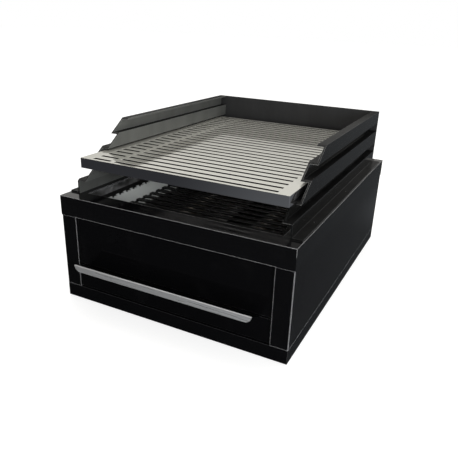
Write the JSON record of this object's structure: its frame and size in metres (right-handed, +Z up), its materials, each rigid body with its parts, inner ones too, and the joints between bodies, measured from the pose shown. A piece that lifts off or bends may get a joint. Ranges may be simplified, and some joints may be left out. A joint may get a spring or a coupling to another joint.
{
  "type": "gas grill",
  "caption": "Table-top gas grill: a slotted steel grate slides in a folded rack with height levels, over a gloss black cabinet with a pull-out grease drawer.",
  "frame": {"origin": "on the ground under the middle of the whole grill, pull and gas inlet included", "axes": "+X to the right seen from the front, +Y to the back, +Z up"},
  "size_m": [0.45, 0.669, 0.3205],
  "materials": {
    "black_gloss_enamel": "deep gloss black",
    "black_fascia_enamel": "deep gloss black",
    "black_satin_enamel": "satin black",
    "black_rack_steel": "satin gloss black",
    "polished_grate_steel": "polished",
    "brushed_pull_steel": "fine brushed",
    "plain_sheet_steel": "plain",
    "heat_dark_steel": "heat-darkened",
    "black_fire_enamel": "gloss enamel",
    "bright_deflector_steel": "bright brushed",
    "burner_steel": "heat-stained",
    "gas_brass": "turned",
    "zinc_screw": "zinc plated",
    "rubber_foot": "matt",
    "knob_plastic": "matt black",
    "button_plastic": "gloss red",
    "electrode_ceramic": "glazed white"
  },
  "bodies": {
    "root": {"back_panel": "black_satin_enamel", "base_pan": "black_gloss_enamel", "burner_left": "burner_steel", "burner_rest": "heat_dark_steel", "burner_right": "burner_steel", "comb_ledge_left": "black_fire_enamel", "comb_ledge_right": "black_fire_enamel", "deflector_left": "bright_deflector_steel", "deflector_right": "bright_deflector_steel", "fascia_panel": "black_fascia_enamel", "firebox": "heat_dark_steel", "flame_guard": "black_fire_enamel", "foot_front_left": "rubber_foot", "foot_front_right": "rubber_foot", "foot_rear_left": "rubber_foot", "foot_rear_right": "rubber_foot", "foot_screws": "zinc_screw", "front_frame": "black_gloss_enamel", "gas_inlet": "gas_brass", "gas_manifold": "plain_sheet_steel", "igniter_body": "knob_plastic", "igniter_bracket": "plain_sheet_steel", "injector_left": "gas_brass", "injector_right": "gas_brass", "panel_screws": "zinc_screw", "rack_screws": "zinc_screw", "rack_wall_back": "black_rack_steel", "rack_wall_left": "black_rack_steel", "rack_wall_right": "black_rack_steel", "runner_left": "plain_sheet_steel", "runner_right": "plain_sheet_steel", "side_panel_left": "black_gloss_enamel", "side_panel_right": "black_gloss_enamel", "spark_electrode": "electrode_ceramic", "top_cover": "black_gloss_enamel", "valve_left": "gas_brass", "valve_right": "gas_brass"},
    "drawer": {"drawer_front": "black_fascia_enamel", "drawer_tray": "plain_sheet_steel", "drawer_pull": "brushed_pull_steel", "drawer_screws": "zinc_screw", "slide_left": "plain_sheet_steel", "slide_right": "plain_sheet_steel"},
    "grate": {"grate": "polished_grate_steel"},
    "knob_left": {"knob_left": "knob_plastic", "valve_stem_left": "zinc_screw"},
    "knob_right": {"knob_right": "knob_plastic", "valve_stem_right": "zinc_screw"},
    "igniter_button": {"igniter_button": "button_plastic"}
  },
  "joints": [
    {"name": "drawer_slide", "type": "slide", "parent": "root", "child": "drawer", "axis": [0, -1, 0], "range_m": [0, 0.38]},
    {"name": "grate_slide", "type": "slide", "parent": "root", "child": "grate", "axis": [0, -1, 0], "range_m": [-0.015, 0.3]},
    {"name": "knob_left_turn", "type": "hinge", "parent": "root", "child": "knob_left", "pos_m": [-0.085, 0.3, 0.128], "axis": [0, 1, 0], "range_deg": [0, 90]},
    {"name": "knob_right_turn", "type": "hinge", "parent": "root", "child": "knob_right", "pos_m": [0.085, 0.3, 0.128], "axis": [0, 1, 0], "range_deg": [0, 90]},
    {"name": "igniter_press", "type": "slide", "parent": "root", "child": "igniter_button", "axis": [0, -1, 0], "range_m": [0, 0.004], "stiffness_N_per_m": 400}
  ]
}
